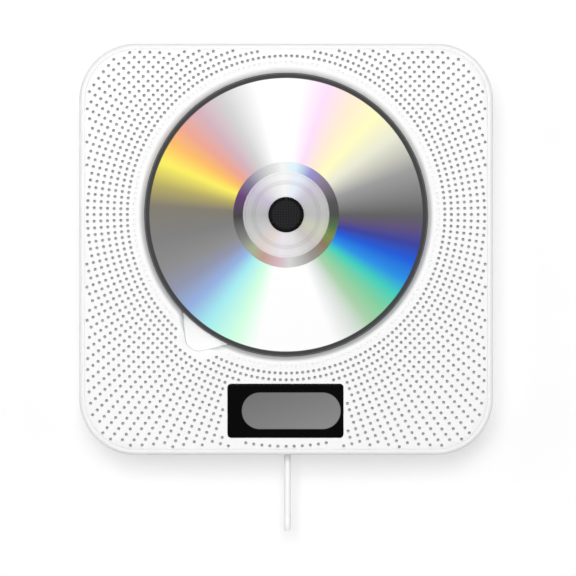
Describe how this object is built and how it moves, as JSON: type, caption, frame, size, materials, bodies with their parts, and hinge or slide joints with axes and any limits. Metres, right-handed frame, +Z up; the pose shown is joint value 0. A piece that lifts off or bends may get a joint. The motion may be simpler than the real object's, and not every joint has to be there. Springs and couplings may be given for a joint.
{
  "type": "wall mounted cd player",
  "caption": "Square wall mounted disc player with a perforated face, an open round disc well with finger notch, a display window and a pull cord.",
  "frame": {"origin": "centre of the wall bracket's back face, in the wall plane", "axes": "+Y into the wall, -Y the way the face looks, +X right as seen from the front, +Z up"},
  "size_m": [0.175, 0.041, 0.207],
  "materials": {
    "white_plastic": "fine satin moulded ABS",
    "bracket_plastic": "satin moulded ABS",
    "black_plastic": "fine matt",
    "mechanism_plastic": "glass-filled, matt",
    "gear_plastic": "natural acetal",
    "steel": "bright plated",
    "speaker_basket": "black",
    "speaker_cone": "pressed paper",
    "magnet": "ferrite and plated steel",
    "rubber": "soft, matt",
    "foam": "closed-cell foam",
    "cloth": "thin acoustic cloth",
    "disc_plastic": "clear polycarbonate with a bright metal layer",
    "lens_plastic": "polished black window",
    "display": "unlit display",
    "circuit_board": "green glass-fibre board",
    "components": "moulded parts",
    "objective_glass": "coated lens",
    "cord_white": "smooth soft cord"
  },
  "bodies": {
    "bracket": {"wall_bracket": "bracket_plastic"},
    "player": {"rear_cover": "white_plastic", "rear_pads": "foam", "housing_screws": "steel", "front_housing": "white_plastic", "grille_panel": "white_plastic", "grille_cloth": "cloth", "display_lens": "lens_plastic", "display_module": "display", "display_board": "circuit_board", "display_screws": "steel", "deck_plate": "black_plastic", "deck_screws": "steel", "chassis": "mechanism_plastic", "guide_rods": "steel", "grommets": "rubber", "grommet_screws": "steel", "spindle_motor": "steel", "gear_axle": "steel", "feed_motor": "steel", "speaker_frames": "speaker_basket", "speaker_cones": "speaker_cone", "speaker_magnets": "magnet", "main_board": "circuit_board", "board_screws": "steel", "board_components": "components", "dc_socket": "components", "inlet_contact": "steel", "headphone_jack": "components", "button_board": "circuit_board", "button_screws": "steel", "tact_switches": "components", "cord_bushing": "rubber", "pull_switch": "components"},
    "spindle": {"spindle_shaft": "steel", "turntable": "black_plastic", "turntable_mat": "rubber", "hub_balls": "steel", "hub_cap": "black_plastic"},
    "disc": {"disc": "disc_plastic"},
    "sled": {"pickup_sled": "mechanism_plastic", "lens_holder": "mechanism_plastic", "objective_lens": "objective_glass", "feed_rack": "mechanism_plastic"},
    "feed_gear": {"feed_gear": "gear_plastic"},
    "feed_pinion": {"feed_pinion": "gear_plastic"},
    "pull": {"switch_plunger": "cord_white", "pull_cord": "cord_white", "cord_tip": "cord_white"},
    "button_previous": {"button_previous": "white_plastic"},
    "button_volume_down": {"button_volume_down": "white_plastic"},
    "button_play": {"button_play": "white_plastic"},
    "button_volume_up": {"button_volume_up": "white_plastic"},
    "button_next": {"button_next": "white_plastic"}
  },
  "joints": [
    {"name": "unhook", "type": "slide", "parent": "bracket", "child": "player", "axis": [0, 0, 1], "range_m": [0, 0.012]},
    {"name": "disc_spin", "type": "hinge", "parent": "player", "child": "spindle", "pos_m": [0, -0.033, -0.0034], "axis": [0, -1, 0], "continuous": true},
    {"name": "disc_lift", "type": "slide", "parent": "spindle", "child": "disc", "axis": [0, -1, 0], "range_m": [0, 0.03]},
    {"name": "sled_slide", "type": "slide", "parent": "player", "child": "sled", "axis": [1, 0, 0], "range_m": [0, 0.033]},
    {"name": "feed_gear_spin", "type": "hinge", "parent": "player", "child": "feed_gear", "pos_m": [0.045, -0.024, 0.0286], "axis": [0, -1, 0], "range_deg": [0, 393.9]},
    {"name": "feed_pinion_spin", "type": "hinge", "parent": "player", "child": "feed_pinion", "pos_m": [0.03201, -0.024, 0.0361], "axis": [0, -1, 0], "range_deg": [-1576, 0]},
    {"name": "cord_pull", "type": "slide", "parent": "player", "child": "pull", "axis": [0, 0, -1], "range_m": [0, 0.008], "stiffness_N_per_m": 300, "springref_m": -0.002},
    {"name": "press_previous", "type": "slide", "parent": "player", "child": "button_previous", "axis": [0, 0, -1], "range_m": [0, 0.0006], "stiffness_N_per_m": 1500, "springref_m": -0.0003},
    {"name": "press_volume_down", "type": "slide", "parent": "player", "child": "button_volume_down", "axis": [0, 0, -1], "range_m": [0, 0.0006], "stiffness_N_per_m": 1500, "springref_m": -0.0003},
    {"name": "press_play", "type": "slide", "parent": "player", "child": "button_play", "axis": [0, 0, -1], "range_m": [0, 0.0006], "stiffness_N_per_m": 1500, "springref_m": -0.0003},
    {"name": "press_volume_up", "type": "slide", "parent": "player", "child": "button_volume_up", "axis": [0, 0, -1], "range_m": [0, 0.0006], "stiffness_N_per_m": 1500, "springref_m": -0.0003},
    {"name": "press_next", "type": "slide", "parent": "player", "child": "button_next", "axis": [0, 0, -1], "range_m": [0, 0.0006], "stiffness_N_per_m": 1500, "springref_m": -0.0003}
  ],
  "couplings": [
    {"joint": "feed_gear_spin", "follows": "sled_slide", "rad_per_m": 208.33},
    {"joint": "feed_pinion_spin", "follows": "sled_slide", "rad_per_m": -833.33}
  ]
}
